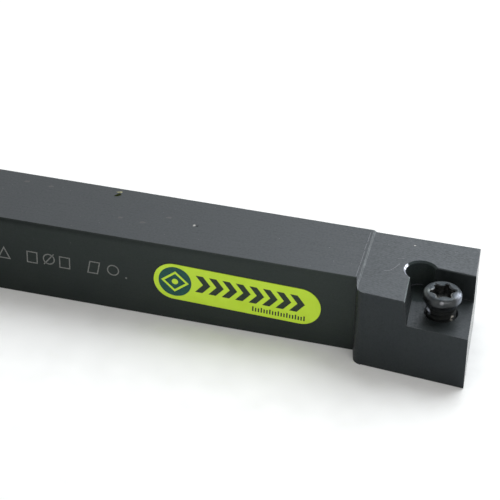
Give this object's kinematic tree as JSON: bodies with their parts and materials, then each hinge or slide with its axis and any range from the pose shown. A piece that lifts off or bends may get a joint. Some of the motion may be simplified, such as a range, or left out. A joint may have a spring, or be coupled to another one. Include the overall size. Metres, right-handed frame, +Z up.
{
  "type": "turning tool holder",
  "caption": "Square-shank turning tool holder with an offset head, a rhombic insert seat with a drilled corner relief, and a six-lobe clamp screw.",
  "frame": {"origin": "on the flat base, on the centre line of the shank's width, under the step line where the head starts", "axes": "+X along the shank to the cutting end, -Y to the side that the head steps out to, +Z up from the base"},
  "size_m": [0.0792, 0.0161, 0.012],
  "materials": {
    "black_steel": "matte black oxide on fine milled steel",
    "screw_steel": "dark heat-treated steel, satin, bright on worn edges",
    "label_film": "lime printed film, semi-gloss"
  },
  "bodies": {
    "holder": {"holder_body": "black_steel", "label": "label_film"},
    "screw": {"clamp_screw": "screw_steel"}
  },
  "joints": [
    {"name": "clamp_screw_travel", "type": "slide", "parent": "holder", "child": "screw", "axis": [0, 0, 1], "range_m": [-0.00165, 0.0056]}
  ]
}
